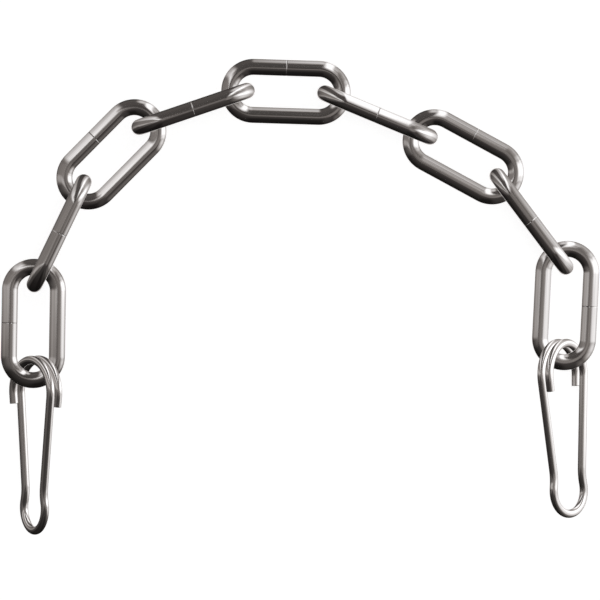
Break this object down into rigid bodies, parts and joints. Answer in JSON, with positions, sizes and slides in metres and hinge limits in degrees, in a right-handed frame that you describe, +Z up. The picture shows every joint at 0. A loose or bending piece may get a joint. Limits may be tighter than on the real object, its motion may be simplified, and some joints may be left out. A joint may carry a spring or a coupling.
{
  "type": "chain with wire spring hooks",
  "caption": "Short length of long-link steel chain laid in an arch, with a bent-wire spring hook on each end for clipping it to a ring or bar.",
  "frame": {"origin": "centre of the laid chain on the floor", "axes": "+X from the left hook to the right hook, +Y towards the top of the arch, +Z up from the floor"},
  "size_m": [0.2217, 0.1763, 0.0254],
  "materials": {
    "link_steel": "polished round steel wire, dark bright finish",
    "hook_steel": "bright drawn steel wire with fine lengthwise draw lines"
  },
  "bodies": {
    "link_5": {"link_5": "link_steel"},
    "link_4": {"link_4": "link_steel"},
    "link_3": {"link_3": "link_steel"},
    "link_2": {"link_2": "link_steel"},
    "link_1": {"link_1": "link_steel"},
    "hook_left": {"hook_left": "hook_steel"},
    "link_6": {"link_6": "link_steel"},
    "link_7": {"link_7": "link_steel"},
    "link_8": {"link_8": "link_steel"},
    "link_9": {"link_9": "link_steel"},
    "hook_right": {"hook_right": "hook_steel"}
  },
  "joints": [
    {"name": "link_4_swing", "type": "hinge", "parent": "link_5", "child": "link_4", "pos_m": [-0.01729, 0.07628, 0.0119], "axis": [0, 0, 1], "range_deg": [-100.5, 59.5]},
    {"name": "link_3_swing", "type": "hinge", "parent": "link_4", "child": "link_3", "pos_m": [-0.06135, 0.06137, 0.0119], "axis": [0, 0, -1], "range_deg": [-53.4, 106.6]},
    {"name": "link_2_swing", "type": "hinge", "parent": "link_3", "child": "link_2", "pos_m": [-0.07837, 0.04417, 0.0119], "axis": [0, 0, 1], "range_deg": [-99, 61]},
    {"name": "link_1_swing", "type": "hinge", "parent": "link_2", "child": "link_1", "pos_m": [-0.09854, 0.00226, 0.0119], "axis": [0, 0, -1], "range_deg": [-55.2, 104.8]},
    {"name": "hook_left_lift", "type": "hinge", "parent": "link_1", "child": "hook_left", "pos_m": [-0.0979, -0.03525, 0.01243], "axis": [-0.8186, -0.03, 0.5736], "range_deg": [0, 80]},
    {"name": "link_6_swing", "type": "hinge", "parent": "link_5", "child": "link_6", "pos_m": [0.00689, 0.07552, 0.0119], "axis": [0, 0, 1], "range_deg": [-59.2, 100.8]},
    {"name": "link_7_swing", "type": "hinge", "parent": "link_6", "child": "link_7", "pos_m": [0.04983, 0.05765, 0.0119], "axis": [0, 0, -1], "range_deg": [-86, 74]},
    {"name": "link_8_swing", "type": "hinge", "parent": "link_7", "child": "link_8", "pos_m": [0.07108, 0.04606, 0.0119], "axis": [0, 0, 1], "range_deg": [-55.5, 104.5]},
    {"name": "link_9_swing", "type": "hinge", "parent": "link_8", "child": "link_9", "pos_m": [0.09901, 0.00887, 0.0119], "axis": [0, 0, -1], "range_deg": [-119.8, 40.2]},
    {"name": "hook_right_lift", "type": "hinge", "parent": "link_9", "child": "hook_right", "pos_m": [0.09723, -0.02908, 0.01271], "axis": [-0.848, -0.0089, -0.5299], "range_deg": [0, 80]}
  ]
}
